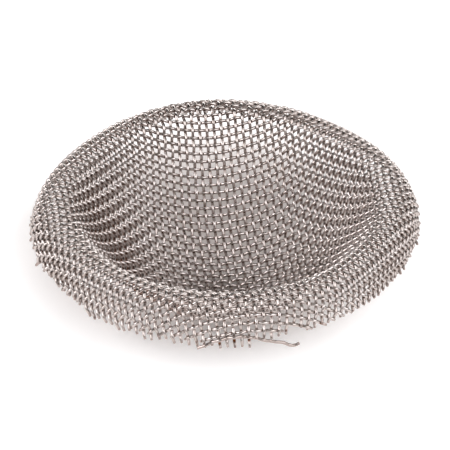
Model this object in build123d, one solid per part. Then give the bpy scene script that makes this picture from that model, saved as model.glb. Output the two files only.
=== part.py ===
from build123d import *
import os
from math import atan2, ceil, cos, degrees, hypot, radians, sin

# Cloth. All lengths are in millimetres.
WIRE_PITCH = 0.847  # 30 wires to the inch
WIRE_DIAMETER = 0.315
STRAND_WIRES = 5  # one strand of the model stands for five wires
STRAND_PITCH = STRAND_WIRES * WIRE_PITCH
STRAND_WIDTH = 0.56 * STRAND_PITCH
STRAND_SIDE_COUNT = 6  # strands on each side of the middle one

# Side profile: bowl arc, straight wall, rolled rim arc, straight skirt.
BOWL_RADIUS = 15.16
WALL_ANGLE = radians(53.5)
WALL_LENGTH = 5.66
RIM_RADIUS = 2.83
SKIRT_ANGLE = radians(67.2)
EDGE_LENGTH = 27.4  # from the bowl's centre to the trimmed edge, along the cloth

# The rim came out of the press a little uneven: it leans, is oval, and is drawn in and down on the diagonals.
UNEVEN_FROM = 17.0
UNEVEN_OVER = 11.9
LEAN_HEIGHT = 1.01
LEAN_DIRECTION = radians(-67.9)
OVAL_SHARE = 0.0365
SHIFT_SHARE = 0.0152
DIAGONAL_SHARE = 0.0229
DIAGONAL_DROP = 0.355

# Flat cloth drawn into a dish shears: it stretches and twists on its diagonals.
SHEAR_RADIUS = 30.5
SHEAR_STRETCH = (0.378, -0.528, 0.291)
SHEAR_TWIST = (0.168, -0.164, 0.006)

# Strands are divided until the dish turns less than this from one line to the next.
MAX_TURN = radians(25)

# Ring that trims the skirt.
TRIM_INNER = 17.5
TRIM_OUTER = 30.0
BASE_ALIGN = (Align.CENTER, Align.CENTER, Align.MIN)


def shear_share(factors, distance):
    """Even polynomial of the distance from the middle of the cloth."""
    share = (distance / SHEAR_RADIUS) ** 2
    return sum(factor * share ** (power + 1) for power, factor in enumerate(factors))


def profile(length):
    """Radius, height and slope at a length along the cloth from the bowl's centre."""
    bowl_length = BOWL_RADIUS * WALL_ANGLE
    rim_length = RIM_RADIUS * (WALL_ANGLE + SKIRT_ANGLE)
    on_bowl = min(length, bowl_length)
    on_wall = min(max(length - bowl_length, 0), WALL_LENGTH)
    on_rim = min(max(length - bowl_length - WALL_LENGTH, 0), rim_length)
    on_skirt = max(length - bowl_length - WALL_LENGTH - rim_length, 0)
    bowl_slope = on_bowl / BOWL_RADIUS
    rim_slope = WALL_ANGLE - on_rim / RIM_RADIUS
    radius = BOWL_RADIUS * sin(bowl_slope) + on_wall * cos(WALL_ANGLE)
    radius += RIM_RADIUS * (sin(WALL_ANGLE) - sin(rim_slope)) + on_skirt * cos(SKIRT_ANGLE)
    height = BOWL_RADIUS * (1 - cos(bowl_slope)) + on_wall * sin(WALL_ANGLE)
    height += RIM_RADIUS * (cos(rim_slope) - cos(WALL_ANGLE)) - on_skirt * sin(SKIRT_ANGLE)
    return radius, height, min(bowl_slope, rim_slope)


def pressed(x, y):
    """Length from the centre, point and upward normal of the dish for a point of the flat cloth."""
    distance, angle = hypot(x, y), atan2(y, x)
    stretch = shear_share(SHEAR_STRETCH, distance) * (1 - cos(4 * angle)) / 2
    turn = angle + shear_share(SHEAR_TWIST, distance) * sin(4 * angle)
    length = distance * (1 + stretch)
    radius, height, slope = profile(length)
    share = min(max((length - UNEVEN_FROM) / UNEVEN_OVER, 0), 1)
    uneven = share * share * (3 - 2 * share)
    drawn = (1 - cos(4 * turn)) / 2
    height += uneven * (LEAN_HEIGHT * cos(turn - LEAN_DIRECTION) - DIAGONAL_DROP * drawn)
    radius *= 1 + uneven * (SHIFT_SHARE * sin(turn) - OVAL_SHARE * cos(2 * turn) - DIAGONAL_SHARE * drawn)
    point = Vector(radius * cos(turn), radius * sin(turn), height)
    normal = Vector(-sin(slope) * cos(turn), -sin(slope) * sin(turn), cos(slope))
    return length, point, normal


def divisions(start, stop):
    """Equal steps between two lines of the flat cloth, as many as the sharpest turn needs."""
    turns = [0.0]
    for number in range(STRAND_SIDE_COUNT + 1):
        (near, _, first), (_, _, second) = (pressed(line, number * STRAND_PITCH) for line in (start, stop))
        if near < EDGE_LENGTH:
            turns.append(radians(first.get_angle(second)))
    steps = max(1, ceil(max(turns) / MAX_TURN))
    return [start + (stop - start) * step / steps for step in range(steps + 1)]


def strand_lines(number):
    """Flat lines that divide a strand across its width."""
    middle = abs(number) * STRAND_PITCH
    lines = divisions(middle - STRAND_WIDTH / 2, middle + STRAND_WIDTH / 2)
    return lines if number >= 0 else [-line for line in reversed(lines)]


def gap_lines(number):
    """Flat lines inside the gap that follows a strand, for strands from the middle outwards."""
    start = number * STRAND_PITCH + STRAND_WIDTH / 2
    return divisions(start, start + STRAND_PITCH - STRAND_WIDTH)[1:-1]


def length_lines():
    """All lines across a strand's length, the same for warp and weft so that crossings match."""
    outward = []
    for number in range(1, STRAND_SIDE_COUNT + 1):
        outward += gap_lines(number - 1) + strand_lines(number)
    outward += gap_lines(STRAND_SIDE_COUNT) + strand_lines(STRAND_SIDE_COUNT + 1)[:1]
    return [-line for line in reversed(outward)] + strand_lines(0) + outward


def lift_at(along, number, is_warp):
    """Height of a strand's middle: half a wire over or under, with a straight slope in each gap."""
    crossing = round(along / STRAND_PITCH)
    side = 1 if (crossing + number + is_warp) % 2 == 0 else -1
    into_gap = max(abs(along - crossing * STRAND_PITCH) - STRAND_WIDTH / 2, 0)
    return side * WIRE_DIAMETER / 2 * (1 - 2 * into_gap / (STRAND_PITCH - STRAND_WIDTH))


def cloth_corner(across, along, height, is_warp):
    """Point at a height above the dish; warp and weft swap the two flat directions."""
    _, point, normal = pressed(across, along) if is_warp else pressed(along, across)
    return point + normal * height


def facets(rows):
    """Flat triangles between neighbouring rows of points."""
    faces = []
    for near, far in zip(rows, rows[1:]):
        for n in range(len(near) - 1):
            faces.append(Face(Wire.make_polygon([near[n], near[n + 1], far[n + 1]])))
            faces.append(Face(Wire.make_polygon([near[n], far[n + 1], far[n]])))
    return faces


def make_strand(number, is_warp, lines):
    """One strand of the weave: a faceted strip that runs over and under its neighbours."""
    across = strand_lines(number)
    inner_side = min(abs(across[0]), abs(across[-1]))
    kept = max(line for line in lines if pressed(inner_side, line)[0] < EDGE_LENGTH)
    end = min(line for line in lines if line > kept)
    along = [line for line in lines if abs(line) <= end]
    sheets = []
    for side in (1, -1):
        heights = [lift_at(line, number, is_warp) + side * WIRE_DIAMETER / 2 for line in along]
        sheets.append(
            [[cloth_corner(x, y, height, is_warp) for x in across] for y, height in zip(along, heights)]
        )
    top, bottom = sheets
    edges = [[[over[end], under[end]] for over, under in zip(top, bottom)] for end in (0, -1)]
    ends = [[top[end], bottom[end]] for end in (0, -1)]
    return Solid(Shell([face for rows in (top, bottom, *edges, *ends) for face in facets(rows)]))


def make_trim_ring():
    """Ring below the skirt whose tilted top face shears the cloth off level with the rim."""
    radius, height, _ = profile(EDGE_LENGTH)
    tilt = degrees(atan2(LEAN_HEIGHT, radius))
    ring = Cylinder(TRIM_OUTER, height, align=BASE_ALIGN) - Cylinder(TRIM_INNER, height, align=BASE_ALIGN)
    level = Pos(0, 0, height) * Rot(0, 0, degrees(LEAN_DIRECTION)) * Rot(0, -tilt, 0)
    return level * Pos(0, 0, -height) * ring


def make_cloth():
    """Warp and weft woven over and under, joined where they cross and trimmed at the skirt."""
    lines = length_lines()
    numbers = range(-STRAND_SIDE_COUNT, STRAND_SIDE_COUNT + 1)
    strands = [make_strand(number, warp, lines) for warp in (True, False) for number in numbers]
    return strands[0].fuse(*strands[1:]) - make_trim_ring()


def stand_on_base(cloth):
    """Put the flat bottom of the bowl at height zero."""
    return Pos(0, 0, -cloth.bounding_box().min.Z) * cloth


os.makedirs("parts", exist_ok=True)
export_step(stand_on_base(make_cloth()), "parts/screen.step")
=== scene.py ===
"""Round filter screen pressed from woven steel wire, with every wire laid out as a tube."""

import logging
import math
from dataclasses import dataclass, field
from enum import Enum

import bpy
import numpy as np
from mathutils import Matrix, Vector

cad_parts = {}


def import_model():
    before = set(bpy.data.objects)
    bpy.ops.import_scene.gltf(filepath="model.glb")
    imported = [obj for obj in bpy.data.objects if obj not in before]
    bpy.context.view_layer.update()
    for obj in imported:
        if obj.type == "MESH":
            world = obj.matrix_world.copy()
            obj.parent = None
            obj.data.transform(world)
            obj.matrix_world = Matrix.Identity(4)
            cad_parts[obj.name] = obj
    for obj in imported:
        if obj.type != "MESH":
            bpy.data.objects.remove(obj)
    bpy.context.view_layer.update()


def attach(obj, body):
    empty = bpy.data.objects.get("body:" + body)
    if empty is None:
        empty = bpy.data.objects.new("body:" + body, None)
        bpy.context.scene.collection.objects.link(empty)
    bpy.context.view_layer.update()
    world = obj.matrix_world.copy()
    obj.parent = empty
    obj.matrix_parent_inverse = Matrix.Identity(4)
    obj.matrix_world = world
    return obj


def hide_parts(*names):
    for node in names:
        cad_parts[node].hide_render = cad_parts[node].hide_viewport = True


MM = 0.001
FULL_TURN = 2.0 * math.pi
NODE = "screen"

Colour = tuple[float, float, float]
Point = tuple[float, float, float]

log = logging.getLogger("filter_screen")


class Direction(Enum):
    """The two directions of the weave in the flat cloth: warp wires run along Y, weft along X."""

    WARP = "warp"
    WEFT = "weft"


class End(Enum):
    """The two ends of a wire, each with its sign along the wire."""

    LOW = -1
    HIGH = 1


class Half(Enum):
    """The two halves of a set of wires. The middle wire belongs to the half above."""

    BELOW = "below"
    ABOVE = "above"


def unit(vectors: np.ndarray) -> np.ndarray:
    """Vectors along the last axis, each divided by its own length.

    Args:
        vectors: Array of vectors.

    Returns:
        The same array with every vector of length one.
    """
    return vectors / np.linalg.norm(vectors, axis=-1, keepdims=True)


def smooth_step(share: np.ndarray) -> np.ndarray:
    """Eased rise from 0 to 1: three times the square less twice the cube, held at both ends."""
    held = np.clip(share, 0.0, 1.0)
    return held * held * (3.0 - 2.0 * held)


def new_node(
    tree: bpy.types.NodeTree,
    kind: str,
    inputs: dict[str | int, object] | None = None,
    **settings: object,
) -> bpy.types.Node:
    """Adds a node to a tree.

    Args:
        tree: Where the node is added.
        kind: Blender's name for the kind of node.
        inputs: Plain values of its inputs, by name or number.
        **settings: Other settings of the node, which are made first.

    Returns:
        The new node.
    """
    node = tree.nodes.new(kind)
    for name, value in settings.items():
        setattr(node, name, value)
    for name, value in (inputs or {}).items():
        node.inputs[name].default_value = value
    return node


@dataclass(frozen=True)
class DishProfile:
    """Side profile of the dish: bowl arc, straight wall, rim arc, straight skirt.

    Attributes:
        bowl_radius: Radius of the bowl's arc.
        wall_angle: Slope at which the arc ends and the wall goes on.
        wall_length: Length of the straight wall.
        rim_radius: Radius of the rolled rim.
        skirt_angle: Slope at which the rim ends and the skirt goes down.
        edge_length: Length along the cloth from the bowl's centre to the skirt's cut edge.
    """

    bowl_radius: float = 15.16 * MM
    wall_angle: float = math.radians(53.5)
    wall_length: float = 5.66 * MM
    rim_radius: float = 2.83 * MM
    skirt_angle: float = math.radians(67.2)
    edge_length: float = 27.4 * MM

    def at(self, length: np.ndarray) -> tuple[np.ndarray, np.ndarray, np.ndarray]:
        """Radius, height and slope at lengths along the cloth from the bowl's centre.

        Radius and height are the sums, over the four stretches, of each stretch's own rise. An arc
        adds its radius times the difference of the sines or cosines of its slopes. A straight adds
        its length times the cosine or sine of its slope.

        Args:
            length: Lengths along the cloth.

        Returns:
            Radius, height and slope angle for each length.
        """
        bowl_length = self.bowl_radius * self.wall_angle
        rim_length = self.rim_radius * (self.wall_angle + self.skirt_angle)
        on_bowl = np.minimum(length, bowl_length)
        on_wall = np.clip(length - bowl_length, 0.0, self.wall_length)
        on_rim = np.clip(length - bowl_length - self.wall_length, 0.0, rim_length)
        on_skirt = np.maximum(length - bowl_length - self.wall_length - rim_length, 0.0)
        bowl_slope = on_bowl / self.bowl_radius
        rim_slope = self.wall_angle - on_rim / self.rim_radius
        radius = (
            self.bowl_radius * np.sin(bowl_slope)
            + on_wall * math.cos(self.wall_angle)
            + self.rim_radius * (math.sin(self.wall_angle) - np.sin(rim_slope))
            + on_skirt * math.cos(self.skirt_angle)
        )
        height = (
            self.bowl_radius * (1.0 - np.cos(bowl_slope))
            + on_wall * math.sin(self.wall_angle)
            + self.rim_radius * (np.cos(rim_slope) - math.cos(self.wall_angle))
            - on_skirt * math.sin(self.skirt_angle)
        )
        return radius, height, np.minimum(bowl_slope, rim_slope)


@dataclass(frozen=True)
class PressedCloth:
    """Flat cloth drawn into the dish. It shears on its diagonals, and its rim is uneven.

    Attributes:
        profile: Side profile that the cloth follows.
        base_height: Height of the cloth's middle at the bowl's bottom.
        shear_folds: How often the shear repeats in a full turn.
        shear_radius: Flat distance that the shear's polynomials take as one.
        shear_stretch: Factors of the polynomial for the length on the diagonals.
        shear_twist: Factors of the polynomial for the turn beside the diagonals.
        uneven_from: Length along the cloth at which the rim's unevenness begins.
        uneven_over: Length over which it is eased in.
        lean_height: How far the rim is raised on its high side.
        lean_direction: Direction of the high side.
        oval_share: Share of the radius that the rim loses along X and gains along Y.
        shift_share: Share of the radius by which the rim is shifted along Y.
        diagonal_share: Share of the radius that the rim loses on the diagonals.
        diagonal_drop: Height that the rim loses on the diagonals.
    """

    profile: DishProfile = DishProfile()
    base_height: float = 0.30 * MM
    shear_folds: float = 4.0
    shear_radius: float = 30.5 * MM
    shear_stretch: tuple[float, ...] = (0.378, -0.528, 0.291)
    shear_twist: tuple[float, ...] = (0.168, -0.164, 0.006)
    uneven_from: float = 17.0 * MM
    uneven_over: float = 11.9 * MM
    lean_height: float = 1.01 * MM
    lean_direction: float = math.radians(-67.9)
    oval_share: float = 0.0365
    shift_share: float = 0.0152
    diagonal_share: float = 0.0229
    diagonal_drop: float = 0.355 * MM

    def on_diagonal(self, angle: np.ndarray) -> np.ndarray:
        """Half of one less the cosine of four times an angle: 1 on the diagonals, 0 on the axes."""
        return (1.0 - np.cos(self.shear_folds * angle)) / 2.0

    def length_at(self, x: np.ndarray, y: np.ndarray) -> np.ndarray:
        """Length along the cloth from the bowl's centre for points of the flat cloth.

        It is the flat distance, stretched on the diagonals by an even polynomial of that distance.

        Args:
            x: Flat positions across the warp.
            y: Flat positions across the weft.

        Returns:
            Length for each point.
        """
        distance, angle = np.hypot(x, y), np.arctan2(y, x)
        stretch = self.polynomial(self.shear_stretch, distance) * self.on_diagonal(angle)
        return distance * (1.0 + stretch)

    def polynomial(self, factors: tuple[float, ...], distance: np.ndarray) -> np.ndarray:
        """Even polynomial of a distance, taken as a share of the shear radius.

        It is the sum of each factor times the squared share, raised to 1, 2 and 3 in turn.

        Args:
            factors: Factor of each power.
            distance: Flat distances from the bowl's centre.

        Returns:
            The polynomial's value for each distance.
        """
        share = (distance / self.shear_radius) ** 2
        return sum(factor * share ** (power + 1) for power, factor in enumerate(factors))

    def place(self, x: np.ndarray, y: np.ndarray) -> tuple[np.ndarray, np.ndarray]:
        """Points of the pressed cloth and its upward normals for points of the flat cloth.

        The turn about the bowl's axis is the flat angle plus an even polynomial of the flat
        distance times the sine of four times that angle. The rim's height gets a cosine of the
        turn. Its radius gets a sine of the turn and a cosine of twice the turn. Both lose a little
        on the diagonals. All of it is eased in along the wall.

        Args:
            x: Flat positions across the warp.
            y: Flat positions across the weft.

        Returns:
            Points and unit normals, each with a last axis of three.
        """
        distance, angle = np.hypot(x, y), np.arctan2(y, x)
        twist = self.polynomial(self.shear_twist, distance)
        turn = angle + twist * np.sin(self.shear_folds * angle)
        length = self.length_at(x, y)
        radius, height, slope = self.profile.at(length)
        uneven = smooth_step((length - self.uneven_from) / self.uneven_over)
        drawn = self.on_diagonal(turn)
        lean = self.lean_height * np.cos(turn - self.lean_direction) - self.diagonal_drop * drawn
        swell = self.shift_share * np.sin(turn) - self.oval_share * np.cos(2.0 * turn)
        swell -= self.diagonal_share * drawn
        height = height + uneven * lean + self.base_height
        radius = radius * (1.0 + uneven * swell)
        points = np.stack([radius * np.cos(turn), radius * np.sin(turn), height], axis=-1)
        inward = -np.sin(slope)
        normals = np.stack([inward * np.cos(turn), inward * np.sin(turn), np.cos(slope)], axis=-1)
        return points, normals


@dataclass
class WireBundle:
    """Tubes of round wire in one mesh, with what the finish needs to know at each point.

    Attributes:
        sides: Faces around a wire.
        points: Points of each wire.
        quads: Corners of each wire's side faces.
        caps: Corners of each wire's two end faces.
        contact: Contact value at each wire's points.
        strand: Strand value at each wire's points.
        count: Points gathered so far.
    """

    sides: int = 8
    points: list[np.ndarray] = field(default_factory=list)
    quads: list[np.ndarray] = field(default_factory=list)
    caps: list[np.ndarray] = field(default_factory=list)
    contact: list[np.ndarray] = field(default_factory=list)
    strand: list[np.ndarray] = field(default_factory=list)
    count: int = 0

    def add_wire(
        self,
        path: np.ndarray,
        up: np.ndarray,
        radius: np.ndarray,
        crossing: np.ndarray,
        soil_and_shade: np.ndarray,
        tone: float,
    ) -> None:
        """Carries a circle along a path and closes both ends with a flat cut.

        A point of the surface is the path's point plus the radius times the cosine of the angle
        along the raised direction and its sine along the side direction, square to the path. The
        contact value is the closeness to a crossing times how much the point faces the other wire
        there, or the painted shade on that ring where that is more; it steers the grime and painted
        shade between the wires. The strand value is the cosine of the angle, the run along the wire
        in radii, and the tone.

        Args:
            path: Middle of the wire, one row for each ring.
            up: Direction away from the bowl's underside at each ring.
            radius: Radius of the wire at each ring.
            crossing: Closeness to a crossing at each ring, from -1, passing under, to 1, over.
            soil_and_shade: Painted shade all round the wire at each ring, from 0 to 1.
            tone: Number from 0 to 1 that gives this wire its own shade.
        """
        tangent = unit(np.gradient(path, axis=0))
        raised = unit(up - tangent * np.sum(up * tangent, axis=1, keepdims=True))
        side = np.cross(tangent, raised)
        angle = np.arange(self.sides) * (FULL_TURN / self.sides)
        cosine, sine = np.cos(angle)[None, :], np.sin(angle)[None, :]
        ring = cosine[..., None] * raised[:, None, :] + sine[..., None] * side[:, None, :]
        rings = len(path)
        self.points.append((path[:, None, :] + radius[:, None, None] * ring).reshape(-1, 3))

        first = self.count + np.arange(rings - 1)[:, None] * self.sides
        here = np.arange(self.sides)[None, :]
        beside = (here + 1) % self.sides
        corners = [first + here, first + self.sides + here]
        corners += [first + self.sides + beside, first + beside]
        self.quads.append(np.stack(corners, axis=-1).reshape(-1, 4))
        last = self.count + (rings - 1) * self.sides
        self.caps.append(np.stack([self.count + here[0], last + here[0][::-1]]))
        self.count += rings * self.sides

        # Grime and painted shade where the wires touch, and the painted shade given for each ring.
        touching = np.maximum(-cosine * crossing[:, None], soil_and_shade[:, None])
        self.contact.append(touching.reshape(-1))
        steps = np.linalg.norm(np.diff(path, axis=0), axis=1)
        run = np.concatenate([[0.0], np.cumsum(steps)])
        strand = np.empty((rings, self.sides, 3))
        strand[..., 0] = cosine
        strand[..., 1] = run[:, None] / radius.max()
        strand[..., 2] = tone
        self.strand.append(strand.reshape(-1, 3))

    def to_object(self, name: str) -> bpy.types.Object:
        """Makes a mesh object of all the wires gathered so far.

        Args:
            name: Name of the piece.

        Returns:
            The new object, linked to the scene.
        """
        points, quads = np.concatenate(self.points), np.concatenate(self.quads)
        caps = np.concatenate(self.caps)
        corners = np.concatenate([quads.ravel(), caps.ravel()]).astype(np.int32)
        quad_starts = np.arange(len(quads)) * 4
        cap_starts = quads.size + np.arange(len(caps)) * self.sides
        starts = np.concatenate([quad_starts, cap_starts]).astype(np.int32)
        smooth = np.arange(len(starts)) < len(quads)
        mesh = bpy.data.meshes.new(name)
        mesh.vertices.add(len(points))
        mesh.vertices.foreach_set("co", points.ravel())
        mesh.loops.add(len(corners))
        mesh.loops.foreach_set("vertex_index", corners)
        mesh.polygons.add(len(starts))
        mesh.polygons.foreach_set("loop_start", starts)
        mesh.polygons.foreach_set("use_smooth", smooth)
        contact = mesh.attributes.new("contact", "FLOAT", "POINT")
        contact.data.foreach_set("value", np.concatenate(self.contact))
        strand = mesh.attributes.new("strand", "FLOAT_VECTOR", "POINT")
        strand.data.foreach_set("vector", np.concatenate(self.strand).ravel())
        mesh.update(calc_edges=True)
        mesh.validate()
        piece = bpy.data.objects.new(name, mesh)
        bpy.context.collection.objects.link(piece)
        return piece


@dataclass(frozen=True)
class Weave:
    """Plain weave: each wire goes over one neighbour and under the next, out to the cut edge.

    Attributes:
        cloth: Where the flat cloth lies once it is pressed.
        pitch: Distance between neighbouring wires in the flat cloth.
        off_centre: Place of the middle wire of each set.
        wire_radius: Radius of a wire.
        crimp: How far a wire's middle stands off the cloth's middle at a crossing.
        side_count: Wires on each side of the middle one.
        rings_per_crossing: Rings of the tube from one crossing to the next.
        wander: Scale of the wires' sideways wander.
        wander_periods: Periods of its three waves, in pitches.
        edge_spread: Spread of the lengths of ends that are cut flush.
        edge_search: Flat reach in which the edge is looked for, in shear radii.
        edge_samples: Samples in that reach.
        shortest_half: Half the length of the shortest wire that is kept.
        tooth: Least and most length by which a frayed end stands out.
        frayed: Where along X the frayed ends are.
        notch: Where along X the notch is.
        notch_line: Where along Y the wires of the notch end in the flat cloth.
        end_bend: Spread of how far an end is bent up or down.
        end_taper: Share of the radius that an end loses.
        end_shade: Painted shade on an end.
        recess_shade: Most painted shade low in the weave.
        shaded_side_direction: Direction of the side with painted shade.
        shaded_from: Length along the cloth at which the painted shade begins.
        shaded_to: Length along the cloth at which it stops.
        shade_fade: Length over which it is eased in and out.
        loose_row: Number of the weft wire that has come loose.
        odd_ends: Lengths past the edge of ends that differ from their neighbours.
    """

    cloth: PressedCloth
    pitch: float = 0.847 * MM
    off_centre: float = -0.13 * MM
    wire_radius: float = 0.172 * MM
    crimp: float = 0.140 * MM
    side_count: int = 32
    rings_per_crossing: int = 6
    wander: float = 0.016 * MM
    wander_periods: tuple[float, ...] = (3.7, 9.1, 23.0)
    edge_spread: float = 0.07 * MM
    edge_search: float = 1.1
    edge_samples: int = 800
    shortest_half: float = 4.0 * MM
    tooth: tuple[float, float] = (0.3 * MM, 0.85 * MM)
    frayed: tuple[float, float] = (-20.0 * MM, 0.6 * MM)
    notch: tuple[float, float] = (3.5 * MM, 6.3 * MM)
    notch_line: float = -25.85 * MM
    end_bend: float = 0.10 * MM
    end_taper: float = 0.3
    end_shade: float = 0.38
    recess_shade: float = 0.80
    shaded_side_direction: float = math.radians(198.0)
    shaded_from: float = 8.0 * MM
    shaded_to: float = 22.0 * MM
    shade_fade: float = 4.0 * MM
    loose_row: int = -32
    odd_ends: dict[tuple[Direction, End, int], float] = field(
        default_factory=lambda: {
            (Direction.WARP, End.LOW, 5): 0.0,
            (Direction.WEFT, End.LOW, -5): 0.9 * MM,
            (Direction.WEFT, End.HIGH, -31): -0.5 * MM,
        }
    )

    def flat(
        self, across: np.ndarray, along: np.ndarray, direction: Direction
    ) -> tuple[np.ndarray, np.ndarray]:
        """Flat cloth positions for a wire's own positions: weft wires swap the two."""
        return (across, along) if direction is Direction.WARP else (along, across)

    def trim(
        self, number: int, end: End, direction: Direction, rng: np.random.Generator
    ) -> float:
        """Length by which a wire's end stands out past the skirt's edge, or falls short of it.

        The front ends of the warp wires are frayed on the left and torn back, along a line of the
        weave, in a notch on the right. A few ends have a length of their own. All the rest are cut
        nearly flush.

        Args:
            number: Number of the wire, counted from the middle of the cloth.
            end: Which of its ends.
            direction: Which way the wire runs.
            rng: Source of the random amounts.

        Returns:
            The length past the edge.
        """
        flush, tooth = rng.normal(0.0, self.edge_spread), rng.uniform(*self.tooth)
        across = number * self.pitch + self.off_centre
        if (direction, end, number) in self.odd_ends:
            return self.odd_ends[direction, end, number]
        if direction is Direction.WEFT or end is End.HIGH:
            return flush
        if self.frayed[0] < across < self.frayed[1]:
            return flush + tooth
        if self.notch[0] < across < self.notch[1]:
            torn = self.cloth.length_at(np.array(across), np.array(self.notch_line))
            return flush + float(torn) - self.cloth.profile.edge_length
        return flush

    def end_of(
        self, number: int, end: End, direction: Direction, rng: np.random.Generator
    ) -> float:
        """Flat length from a wire's middle to its cut end.

        It is the last sample whose length along the cloth is below the edge plus the wire's trim.

        Args:
            number: Number of the wire, counted from the middle of the cloth.
            end: Which of its ends.
            direction: Which way the wire runs.
            rng: Source of the random amounts.

        Returns:
            Flat length to the end, or 0 where the wire lies past the edge.
        """
        reach = self.cloth.shear_radius * self.edge_search
        along = np.linspace(0.0, reach, self.edge_samples)
        across = np.full_like(along, number * self.pitch + self.off_centre)
        lengths = self.cloth.length_at(*self.flat(across, end.value * along, direction))
        edge = self.cloth.profile.edge_length + self.trim(number, end, direction, rng)
        inside = lengths < edge
        return float(along[inside][-1]) if inside[0] else 0.0

    def drift(self, along: np.ndarray, rng: np.random.Generator) -> np.ndarray:
        """Sideways wander of a wire.

        It is the wander times half the sum of three long sine waves with random starts.

        Args:
            along: Places along the wire.
            rng: Source of the random starts.

        Returns:
            Sideways offset at each place.
        """
        starts = rng.uniform(0.0, FULL_TURN, len(self.wander_periods))
        periods = self.pitch * np.array(self.wander_periods)
        waves = np.sin(along[:, None] / periods * FULL_TURN + starts)
        return self.wander * np.sum(waves, axis=1) / 2.0

    def one_side_shade(self, x: np.ndarray, y: np.ndarray, crossing: np.ndarray) -> np.ndarray:
        """Painted shade low in the weave on one side of the bowl's wall.

        It is the most painted shade times the squared cosine of the angle from the shaded side,
        eased in and out along the cloth, and times half of one less the crossing, so the raised
        wire is left without it.

        Args:
            x: Flat positions across the warp.
            y: Flat positions across the weft.
            crossing: Closeness to a crossing, from -1, passing under, to 1, passing over.

        Returns:
            Painted shade from 0 to 1 for each position.
        """
        length = self.cloth.length_at(x, y)
        # Painted shade, darker low in the weave on one side of the wall.
        on_side = np.clip(np.cos(np.arctan2(y, x) - self.shaded_side_direction), 0.0, 1.0) ** 2
        on_wall = smooth_step((length - self.shaded_from) / self.shade_fade)
        on_wall *= smooth_step((self.shaded_to - length) / self.shade_fade)
        return self.recess_shade * on_side * on_wall * (1.0 - crossing) / 2.0

    def add_to(
        self, bundle: WireBundle, number: int, direction: Direction, rng: np.random.Generator
    ) -> None:
        """Adds one wire of the weave to a bundle, unless it is too short to hold.

        Its middle follows the pressed cloth at a fixed flat position, and stands off along the
        cloth's normal by the crimp times the cosine of half a turn for each crossing. Over the
        last pitch before an end, the square of the nearness to that end bends the wire up or down
        and tapers it, and the nearness itself fades the crossing and adds painted shade.

        Args:
            bundle: Where the wire is added.
            number: Number of the wire, counted from the middle of the cloth.
            direction: Which way the wire runs.
            rng: Source of the wire's small irregularities.
        """
        first = -self.end_of(number, End.LOW, direction, rng)
        last = self.end_of(number, End.HIGH, direction, rng)
        if last - first < 2.0 * self.shortest_half:
            return
        step = self.pitch / self.rings_per_crossing
        along = np.arange(math.ceil(first / step), math.floor(last / step) + 1) * step
        across = number * self.pitch + self.off_centre + self.drift(along, rng)
        x, y = self.flat(across, along, direction)
        points, normals = self.cloth.place(x, y)
        over = -1.0 if direction is Direction.WARP else 1.0
        crossing = over * np.cos(math.pi * ((along - self.off_centre) / self.pitch + number))
        to_end = np.minimum(along - first, last - along)
        at_end = np.clip(1.0 - to_end / self.pitch, 0.0, 1.0)
        bend = rng.normal(0.0, self.end_bend, 2)[(along > 0.0).astype(int)] * at_end**2
        path = points + normals * (self.crimp * crossing + bend)[:, None]
        radius = self.wire_radius * (1.0 - self.end_taper * at_end**2)
        # Painted shade low in the weave on one side of the wall, and on the cut ends.
        soil_and_shade = np.maximum(self.one_side_shade(x, y, crossing), self.end_shade * at_end)
        held = crossing * (1.0 - at_end)
        bundle.add_wire(path, normals, radius, held, soil_and_shade, rng.uniform())

    def build(self, direction: Direction, half: Half, seed: int) -> WireBundle:
        """Gathers the wires on one side of the middle, for one direction of the weave.

        Args:
            direction: Which way the wires run.
            half: Which half of them.
            seed: Seed for the irregularities.

        Returns:
            The wires of that half, without the loose one.
        """
        rng = np.random.default_rng(seed)
        bundle = WireBundle()
        below, above = range(-self.side_count, 0), range(self.side_count + 1)
        for number in below if half is Half.BELOW else above:
            if (direction, number) != (Direction.WEFT, self.loose_row):
                self.add_to(bundle, number, direction, rng)
        return bundle


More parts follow.
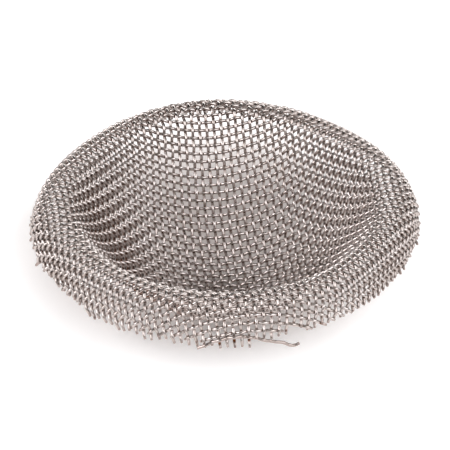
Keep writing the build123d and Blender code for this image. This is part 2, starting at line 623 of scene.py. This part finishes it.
@dataclass(frozen=True)
class LooseWire:
    """The last weft wire at the front, which is out of the weave and hangs below the skirt.

    Attributes:
        weave: The weave that it came out of.
        stations: Points that it follows, in millimetres.
        spacing: Distance between its rings.
        mean_of: Rings in the running mean, an odd number.
        outward: Direction away from the skirt.
        drawn_in: Width of the pressed cloth over the flat width, along this wire.
        held_at: Shares of its length at which the hold of the weave is given.
        held_share: Share of the weave's wave at each of them.
        soil_and_shade: Painted shade all along it.
        tone: Its own shade.
    """

    weave: Weave
    stations: tuple[Point, ...] = (
        (-5.43, -21.25, 9.11),
        (-4.58, -21.31, 9.46),
        (-3.78, -21.38, 9.85),
        (-2.98, -21.44, 10.16),
        (-2.17, -21.49, 10.35),
        (-1.27, -21.53, 10.41),
        (-0.26, -21.54, 10.33),
        (0.55, -21.54, 10.11),
        (1.26, -21.53, 9.81),
        (1.98, -21.50, 9.56),
        (2.79, -21.46, 9.35),
        (3.36, -21.42, 9.22),
        (3.72, -21.39, 8.94),
        (4.13, -21.35, 8.70),
        (4.55, -21.31, 8.66),
        (4.90, -21.28, 8.80),
        (5.06, -21.26, 8.95),
    )
    spacing: float = 0.12 * MM
    mean_of: int = 5
    outward: Point = (0.0, -0.92, 0.39)
    drawn_in: float = 0.885
    held_at: tuple[float, ...] = (0.0, 0.25, 0.6, 0.8)
    held_share: tuple[float, ...] = (0.4, 1.0, 1.0, 0.0)
    soil_and_shade: float = 0.27
    tone: float = 0.5

    def build(self) -> WireBundle:
        """Carries the wire through its stations, which are in millimetres.

        Its middle is the running mean, over a few points, of straight lines between the stations.
        It still has the wave of the weave, in step with the wires it crossed: whole where they hold
        it, a share of it at its left end, and none on its free right end, which is smooth.

        Returns:
            A bundle of this one wire.
        """
        stations = np.array(self.stations) * MM
        steps = np.linalg.norm(np.diff(stations, axis=0), axis=1)
        legs = np.concatenate([[0.0], np.cumsum(steps)])
        run = np.linspace(0.0, legs[-1], round(legs[-1] / self.spacing))
        line = np.stack([np.interp(run, legs, stations[:, axis]) for axis in range(3)], axis=-1)
        padded = np.pad(line, ((self.mean_of // 2, self.mean_of // 2), (0, 0)), mode="edge")
        shifted = (padded[shift : shift + len(line)] for shift in range(self.mean_of))
        middle = sum(shifted) / self.mean_of
        crossings = (middle[:, 0] / self.drawn_in - self.weave.off_centre) / self.weave.pitch
        held = np.interp(run / legs[-1], self.held_at, self.held_share)
        wave = self.weave.crimp * held * np.cos(math.pi * (crossings + self.weave.loose_row))
        outward = np.broadcast_to(unit(np.array(self.outward)), middle.shape)
        path = middle + outward * wave[:, None]
        radius = np.full_like(run, self.weave.wire_radius)
        # Painted shade all along the loose wire.
        soil_and_shade = np.full_like(run, self.soil_and_shade)
        bundle = WireBundle()
        bundle.add_wire(path, outward, radius, np.zeros_like(run), soil_and_shade, self.tone)
        return bundle


@dataclass(frozen=True)
class ShaderGroups:
    """Shader node groups for drawn wire, and their numbers.

    The scales belong to the strand attribute: cosine around the wire, run along it in radii, tone.

    Attributes:
        line_scale: Noise cells of the draw lines, for each unit of the strand attribute.
        line_detail: Octaves of finer noise in them.
        line_range: Noise that gives the smoothest and the roughest steel.
        line_roughness: What these two add to the roughness.
        patch_scale: Noise cells of the darker patches.
        patch_detail: Octaves of finer noise in them.
        stain_and_shade_range: Contact at which the grime and painted shade begin and at which they
            are full.
    """

    line_scale: Point = (7.0, 0.25, 91.0)
    line_detail: float = 3.0
    line_range: tuple[float, float] = (0.3, 0.7)
    line_roughness: tuple[float, float] = (-0.05, 0.08)
    patch_scale: Point = (0.8, 0.11, 37.0)
    patch_detail: float = 2.0
    stain_and_shade_range: tuple[float, float] = (0.05, 0.65)

    def build(self) -> dict[str, bpy.types.NodeTree]:
        """Builds every group, by name."""
        return {"draw_lines": self.draw_lines(), "contact_grime_and_shade": self.contact_grime_and_shade()}

    def start(
        self, name: str, inputs: dict[str, str], outputs: dict[str, str]
    ) -> tuple[bpy.types.NodeTree, bpy.types.NodeOutputs, bpy.types.NodeInputs]:
        """Makes an empty group with named sockets.

        Args:
            name: Name of the group.
            inputs: Kind of socket for each input's name.
            outputs: Kind of socket for each output's name.

        Returns:
            The group's tree, the sockets of what it is given and the sockets of what it makes.
        """
        tree = bpy.data.node_groups.new(name, "ShaderNodeTree")
        for label, kind in inputs.items():
            tree.interface.new_socket(label, in_out="INPUT", socket_type=f"NodeSocket{kind}")
        for label, kind in outputs.items():
            tree.interface.new_socket(label, in_out="OUTPUT", socket_type=f"NodeSocket{kind}")
        given = new_node(tree, "NodeGroupInput").outputs
        made = new_node(tree, "NodeGroupOutput").inputs
        return tree, given, made

    def stretched_noise(
        self, tree: bpy.types.NodeTree, strand: bpy.types.NodeSocket, scale: Point, detail: float
    ) -> bpy.types.NodeSocket:
        """Noise of the strand attribute.

        Args:
            tree: Where its nodes are added.
            strand: Socket with the strand attribute.
            scale: Noise cells for each unit of the attribute, on its three axes.
            detail: Octaves of finer noise.

        Returns:
            Socket with the noise, from 0 to 1.
        """
        stretch = new_node(tree, "ShaderNodeMapping", {"Scale": scale})
        noise = new_node(tree, "ShaderNodeTexNoise", {"Scale": 1.0, "Detail": detail})
        tree.links.new(strand, stretch.inputs["Vector"])
        tree.links.new(stretch.outputs["Vector"], noise.inputs["Vector"])
        return noise.outputs["Fac"]

    def draw_lines(self) -> bpy.types.NodeTree:
        """Fine lines that run along the wire.

        Noise is given out as height, and added to the given roughness as a small change.

        Returns:
            The group's tree.
        """
        tree, given, made = self.start(
            "draw_lines",
            {"Strand": "Vector", "Roughness": "Float"},
            {"Height": "Float", "Roughness": "Float"},
        )
        noise = self.stretched_noise(tree, given["Strand"], self.line_scale, self.line_detail)
        (low, high), (smoother, rougher) = self.line_range, self.line_roughness
        limits = {"From Min": low, "From Max": high, "To Min": smoother, "To Max": rougher}
        change = new_node(tree, "ShaderNodeMapRange", limits)
        add = new_node(tree, "ShaderNodeMath")
        tree.links.new(noise, change.inputs["Value"])
        tree.links.new(change.outputs["Result"], add.inputs[0])
        tree.links.new(given["Roughness"], add.inputs[1])
        tree.links.new(add.outputs["Value"], made["Roughness"])
        tree.links.new(noise, made["Height"])
        return tree

    def contact_grime_and_shade(self) -> bpy.types.NodeTree:
        """Steel that is a little darker in places, and brown with grime and painted shade where two
        wires touch, with more painted shade low in the weave on one side and at the ends.

        Noise mixes the steel with its shaded colour, and the contact value, eased over its range,
        mixes that with the colour of the grime and painted shade.

        Returns:
            The group's tree.
        """
        colours = {"Steel": "Color", "Shaded": "Color", "Grime and shade": "Color"}
        tree, given, made = self.start(
            "contact_grime_and_shade", {"Strand": "Vector", "Contact": "Float"} | colours, {"Color": "Color"}
        )
        noise = self.stretched_noise(tree, given["Strand"], self.patch_scale, self.patch_detail)
        low, high = self.stain_and_shade_range
        limits = {"From Min": low, "From Max": high}
        shade = new_node(tree, "ShaderNodeMix", data_type="RGBA")
        stain_and_shade = new_node(tree, "ShaderNodeMapRange", limits, interpolation_type="SMOOTHSTEP")
        # Brown of grime and painted shade, mixed in by the contact value.
        stained_and_shaded = new_node(tree, "ShaderNodeMix", data_type="RGBA")
        tree.links.new(noise, shade.inputs["Factor"])
        tree.links.new(given["Steel"], shade.inputs["A"])
        tree.links.new(given["Shaded"], shade.inputs["B"])
        tree.links.new(given["Contact"], stain_and_shade.inputs["Value"])
        tree.links.new(stain_and_shade.outputs["Result"], stained_and_shaded.inputs["Factor"])
        tree.links.new(shade.outputs["Result"], stained_and_shaded.inputs["A"])
        tree.links.new(given["Grime and shade"], stained_and_shaded.inputs["B"])
        tree.links.new(stained_and_shaded.outputs["Result"], made["Color"])
        return tree


@dataclass(frozen=True)
class DrawnSteel:
    """Bright drawn stainless wire: draw lines, a shade for each wire, grime and painted shade at
    contacts.

    Attributes:
        name: Name of the material.
        steel: Colour of the brightest wires.
        shaded: Colour of the darkest wires.
        grime_and_shade: Colour of the grime and painted shade.
        roughness: Roughness before the draw lines change it.
        line_strength: Strength of the draw lines' bump.
        line_height: Height of the draw lines.
    """

    name: str = "drawn_steel"
    steel: Colour = (0.66, 0.615, 0.60)
    shaded: Colour = (0.39, 0.322, 0.285)
    # Brown of grime and painted shade where wires touch, low in the weave on one side and at the
    # ends.
    grime_and_shade: Colour = (0.110, 0.034, 0.008)
    roughness: float = 0.25
    line_strength: float = 0.25
    line_height: float = 0.01 * MM

    def material(self, groups: dict[str, bpy.types.NodeTree]) -> bpy.types.Material:
        """Builds the material.

        Args:
            groups: Shader node groups by name.

        Returns:
            The finished material.
        """
        material = bpy.data.materials.new(self.name)
        material.use_nodes = True
        tree = material.node_tree
        shader = tree.nodes["Principled BSDF"]
        shader.inputs["Metallic"].default_value = 1.0
        strand = new_node(tree, "ShaderNodeAttribute", attribute_name="strand")
        contact = new_node(tree, "ShaderNodeAttribute", attribute_name="contact")
        lines = new_node(
            tree,
            "ShaderNodeGroup",
            {"Roughness": self.roughness},
            node_tree=groups["draw_lines"],
        )
        # Group that gives the steel its tone, and its grime and painted shade.
        soil_and_shade = new_node(
            tree,
            "ShaderNodeGroup",
            {
                "Steel": (*self.steel, 1.0),
                "Shaded": (*self.shaded, 1.0),
                "Grime and shade": (*self.grime_and_shade, 1.0),
            },
            node_tree=groups["contact_grime_and_shade"],
        )
        bump = new_node(
            tree,
            "ShaderNodeBump",
            {"Strength": self.line_strength, "Distance": self.line_height},
        )
        tree.links.new(strand.outputs["Vector"], lines.inputs["Strand"])
        tree.links.new(strand.outputs["Vector"], soil_and_shade.inputs["Strand"])
        tree.links.new(contact.outputs["Fac"], soil_and_shade.inputs["Contact"])
        tree.links.new(lines.outputs["Height"], bump.inputs["Height"])
        tree.links.new(bump.outputs["Normal"], shader.inputs["Normal"])
        tree.links.new(lines.outputs["Roughness"], shader.inputs["Roughness"])
        tree.links.new(soil_and_shade.outputs["Color"], shader.inputs["Base Color"])
        return material


@dataclass(frozen=True)
class SoftLamp:
    """A flat soft lamp that faces the screen, from a direction given as the camera sees it.

    Attributes:
        name: Name of the lamp.
        to_right: Turn to the right from the camera's side, in degrees.
        elevation: Angle above the floor, in degrees.
        width: Width of the lamp.
        height: Height of the lamp.
        watts: Power of the lamp.
        colour: Colour of its light.
        distance: Distance from the screen.
    """

    name: str
    to_right: float
    elevation: float
    width: float
    height: float
    watts: float
    colour: Colour
    distance: float = 1.2

    def build(self, heading: float) -> None:
        """Makes the lamp.

        It hangs at its distance along the sines and cosines of its turn and elevation, and looks
        back at the screen.

        Args:
            heading: Turn of the camera about the vertical, in radians.
        """
        turn, level = math.radians(self.to_right), math.radians(self.elevation)
        ahead = math.cos(level)
        towards = Vector((math.sin(turn) * ahead, -math.cos(turn) * ahead, math.sin(level)))
        place = Matrix.Rotation(heading, 3, "Z") @ towards * self.distance
        data = bpy.data.lights.new(self.name, "AREA")
        data.shape = "RECTANGLE"
        data.size, data.size_y = self.width, self.height
        data.energy = self.watts
        data.color = self.colour
        lamp = bpy.data.objects.new(self.name, data)
        lamp.location = place
        lamp.rotation_euler = (-place).to_track_quat("-Z", "Y").to_euler()
        bpy.context.collection.objects.link(lamp)


@dataclass(frozen=True)
class PaleFloor:
    """One wide pale face, which is seen as a white page away from the screen.

    Attributes:
        size: Length of a side.
        colour: Colour of the floor.
        page_colour: Light that the page adds where it is full.
        page_centre: Point on the floor from which distances are taken.
        page_from: Distance at which the page begins.
        page_full: Distance at which it is full.
    """

    size: float = 8.0
    colour: Colour = (0.96, 0.90, 0.875)
    page_colour: Colour = (0.44, 0.475, 0.49)
    page_centre: Point = (0.0, 10.0 * MM, 0.0)
    page_from: float = 14.5 * MM
    page_full: float = 25.0 * MM

    def build(self) -> None:
        """Makes the floor."""
        half = self.size / 2.0
        corners = [(-half, -half, 0.0), (half, -half, 0.0), (half, half, 0.0), (-half, half, 0.0)]
        mesh = bpy.data.meshes.new("floor")
        mesh.from_pydata(corners, [], [(0, 1, 2, 3)])
        mesh.materials.append(self.material())
        floor = bpy.data.objects.new("floor", mesh)
        bpy.context.collection.objects.link(floor)

    def material(self) -> bpy.types.Material:
        """Builds the floor's material.

        The page's light rises with the distance from a centre under the screen, times the sum of
        three flags: the rays of the camera and what the steel mirrors and lets through. So only
        the ground under the screen keeps its full shadow, and the page lights nothing.

        Returns:
            The finished material.
        """
        material = bpy.data.materials.new("floor")
        material.use_nodes = True
        tree = material.node_tree
        shader = tree.nodes["Principled BSDF"]
        shader.inputs["Base Color"].default_value = (*self.colour, 1.0)
        shader.inputs["Roughness"].default_value = 1.0
        shader.inputs["Specular IOR Level"].default_value = 0.0
        shader.inputs["Emission Color"].default_value = (*self.page_colour, 1.0)
        place = new_node(tree, "ShaderNodeTexCoord")
        reach = new_node(
            tree, "ShaderNodeVectorMath", {1: self.page_centre}, operation="DISTANCE"
        )
        page = new_node(
            tree,
            "ShaderNodeMapRange",
            {"From Min": self.page_from, "From Max": self.page_full},
            interpolation_type="SMOOTHSTEP",
        )
        rays = new_node(tree, "ShaderNodeLightPath")
        seen = new_node(tree, "ShaderNodeMath")
        mirrored = new_node(tree, "ShaderNodeMath")
        lit = new_node(tree, "ShaderNodeMath", operation="MULTIPLY")
        tree.links.new(rays.outputs["Is Camera Ray"], seen.inputs[0])
        tree.links.new(rays.outputs["Is Glossy Ray"], seen.inputs[1])
        tree.links.new(seen.outputs["Value"], mirrored.inputs[0])
        tree.links.new(rays.outputs["Is Transmission Ray"], mirrored.inputs[1])
        tree.links.new(place.outputs["Object"], reach.inputs[0])
        tree.links.new(reach.outputs["Value"], page.inputs["Value"])
        tree.links.new(page.outputs["Result"], lit.inputs[0])
        tree.links.new(mirrored.outputs["Value"], lit.inputs[1])
        tree.links.new(lit.outputs["Value"], shader.inputs["Emission Strength"])
        return material


@dataclass(frozen=True)
class Studio:
    """Pale floor, soft light and the camera at the photograph's angle.

    Attributes:
        azimuth: Turn of the camera about the vertical.
        elevation: Angle at which it looks down on the screen.
        distance: Distance from the camera to the bowl's bottom.
        focal_pixels: Focal length in pixels.
        frame_pixels: Width of the frame in pixels.
        centre_below_pixels: Pixels from the frame's centre down to the bowl's bottom.
        sensor_mm: Width of the sensor in millimetres.
        clip: Nearest and farthest distance that the camera sees.
        floor: The floor.
        surroundings: Colour of the light all round.
        lamps: The lamps.
    """

    azimuth: float = math.radians(-6.84)
    elevation: float = math.radians(36.37)
    distance: float = 430.3 * MM
    focal_pixels: float = 4056.0
    frame_pixels: float = 450.0
    centre_below_pixels: float = 65.8
    sensor_mm: float = 36.0
    clip: tuple[float, float] = (0.01, 10.0)
    floor: PaleFloor = PaleFloor()
    surroundings: Colour = (0.02, 0.012, 0.008)
    lamps: tuple[SoftLamp, ...] = (
        SoftLamp("right_box", 60.0, 41.0, 1.6, 0.9, 14.2, (0.97, 0.98, 1.0)),
        SoftLamp("left_box", -71.0, 35.0, 1.05, 0.75, 12.0, (0.98, 0.98, 1.0)),
        SoftLamp("back_card", 172.0, 12.0, 1.2, 0.35, 6.4, (0.98, 1.0, 1.0)),
        SoftLamp("top_card", 0.0, 88.0, 0.6, 0.6, 1.3, (1.0, 0.97, 0.94)),
    )

    def camera(self, aim_height: float) -> None:
        """Makes the camera.

        It stands at the elevation and distance, and its axis is turned up from the bowl's bottom
        by the angle whose tangent is the pixels from the frame's centre down to that bottom over
        the focal length in pixels.

        Args:
            aim_height: Height of the bowl's bottom above the floor.
        """
        lift = math.atan(self.centre_below_pixels / self.focal_pixels)
        back, rise = math.cos(self.elevation), math.sin(self.elevation)
        place = Vector((0.0, -self.distance * back, self.distance * rise + aim_height))
        data = bpy.data.cameras.new("camera")
        data.lens = self.focal_pixels / self.frame_pixels * self.sensor_mm
        data.sensor_width = self.sensor_mm
        data.clip_start, data.clip_end = self.clip
        camera = bpy.data.objects.new("camera", data)
        camera.location = Matrix.Rotation(self.azimuth, 3, "Z") @ place
        camera.rotation_euler = (math.pi / 2.0 - self.elevation + lift, 0.0, self.azimuth)
        bpy.context.collection.objects.link(camera)
        bpy.context.scene.camera = camera

    def world(self) -> None:
        """Makes dim, even surroundings."""
        world = bpy.data.worlds.new("studio")
        world.use_nodes = True
        background = world.node_tree.nodes["Background"]
        background.inputs["Color"].default_value = (*self.surroundings, 1.0)
        bpy.context.scene.world = world

    def build(self, aim_height: float) -> None:
        """Makes the floor, surroundings, lamps and camera.

        Args:
            aim_height: Height of the bowl's bottom above the floor.
        """
        self.floor.build()
        self.world()
        for lamp in self.lamps:
            lamp.build(self.azimuth)
        self.camera(aim_height)


WOVEN_PIECES = (
    ("warp_wires_left", Direction.WARP, Half.BELOW, 11),
    ("warp_wires_right", Direction.WARP, Half.ABOVE, 12),
    ("weft_wires_front", Direction.WEFT, Half.BELOW, 13),
    ("weft_wires_back", Direction.WEFT, Half.ABOVE, 14),
)


def main() -> None:
    """Builds the screen's wires, dresses them and sets up the studio."""
    logging.basicConfig(level=logging.INFO, format="%(name)s: %(message)s")
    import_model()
    bpy.context.scene.view_settings.view_transform = "Standard"
    cloth = PressedCloth()
    weave = Weave(cloth)
    steel = DrawnSteel().material(ShaderGroups().build())
    bundles = {
        name: weave.build(direction, half, seed) for name, direction, half, seed in WOVEN_PIECES
    }
    bundles["loose_front_wire"] = LooseWire(weave).build()
    for name, bundle in bundles.items():
        piece = bundle.to_object(name)
        piece.data.materials.append(steel)
        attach(piece, "root")
        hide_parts(NODE)
        log.info("%s: %d wires, %d faces", name, len(bundle.caps), len(piece.data.polygons))
    Studio().build(cloth.base_height)


if __name__ == "__main__":
    main()
